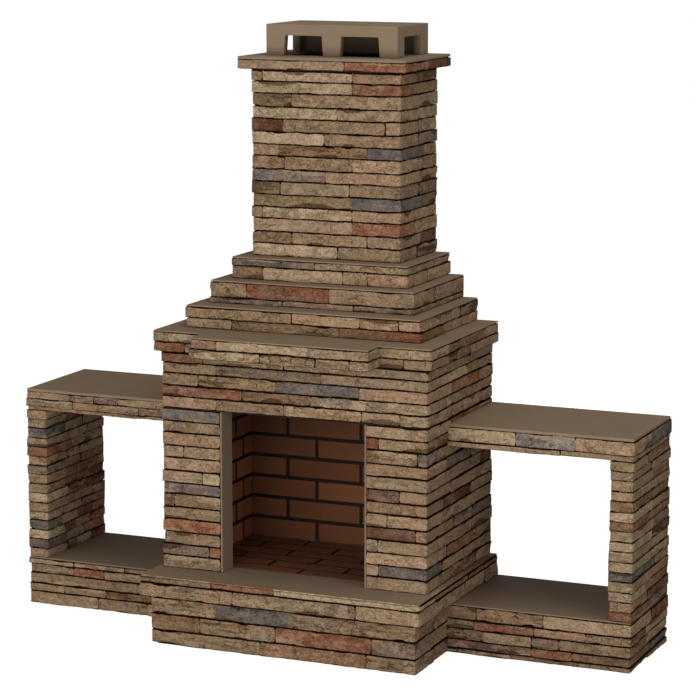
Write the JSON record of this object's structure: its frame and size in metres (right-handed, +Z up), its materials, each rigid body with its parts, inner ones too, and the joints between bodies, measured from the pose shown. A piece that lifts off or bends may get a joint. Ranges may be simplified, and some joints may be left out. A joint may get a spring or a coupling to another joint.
{
  "type": "outdoor fireplace",
  "caption": "Stone-clad outdoor fireplace with a raised hearth, firebrick firebox, breakfront mantel, stepped smoke chamber, capped chimney and open wood boxes.",
  "frame": {"origin": "centre of the overall box on the patio surface", "axes": "+Z up, +X to the right seen from the front, +Y from the mouth to the rear wall"},
  "size_m": [2.842, 0.982, 2.637],
  "materials": {
    "stone": "rock-faced ledgestone",
    "concrete": "trowelled",
    "firebrick": "fired clay",
    "mortar": "struck",
    "flue": "fired clay",
    "steel": "primed"
  },
  "bodies": {
    "root": {"base_module": "concrete", "base_stones": "stone", "body_front_stones": "stone", "body_left_stones": "stone", "body_rear_stones": "stone", "body_right_stones": "stone", "chimney_block_1": "concrete", "chimney_block_2": "concrete", "chimney_block_3": "concrete", "chimney_block_4": "concrete", "chimney_cap": "concrete", "chimney_crown": "concrete", "chimney_front_stones": "stone", "chimney_left_stones": "stone", "chimney_rear_stones": "stone", "chimney_right_stones": "stone", "crown_edge_stones": "stone", "firebox_left_wall": "concrete", "firebox_rear_wall": "concrete", "firebox_right_wall": "concrete", "firebrick_floor": "firebrick", "firebrick_left": "firebrick", "firebrick_rear": "firebrick", "firebrick_right": "firebrick", "flue_tile_lower": "flue", "flue_tile_upper": "flue", "hearth_edge_stones": "stone", "hearth_slab": "concrete", "left_jamb_panel": "concrete", "left_woodbox_base": "concrete", "left_woodbox_base_stones": "stone", "left_woodbox_pier": "concrete", "left_woodbox_pier_stones": "stone", "left_woodbox_shelf": "concrete", "left_woodbox_shelf_stones": "stone", "lintel_angle": "steel", "lintel_beam": "concrete", "lower_tier_stones": "stone", "mantel_edge_stones": "stone", "mantel_slab": "concrete", "middle_tier_stones": "stone", "mortar_floor": "mortar", "mortar_left": "mortar", "mortar_rear": "mortar", "mortar_right": "mortar", "right_jamb_panel": "concrete", "right_woodbox_base": "concrete", "right_woodbox_base_stones": "stone", "right_woodbox_pier": "concrete", "right_woodbox_pier_stones": "stone", "right_woodbox_shelf": "concrete", "right_woodbox_shelf_stones": "stone", "smoke_chamber_lower": "concrete", "smoke_chamber_middle": "concrete", "smoke_chamber_upper": "concrete", "upper_tier_stones": "stone"}
  },
  "joints": []
}
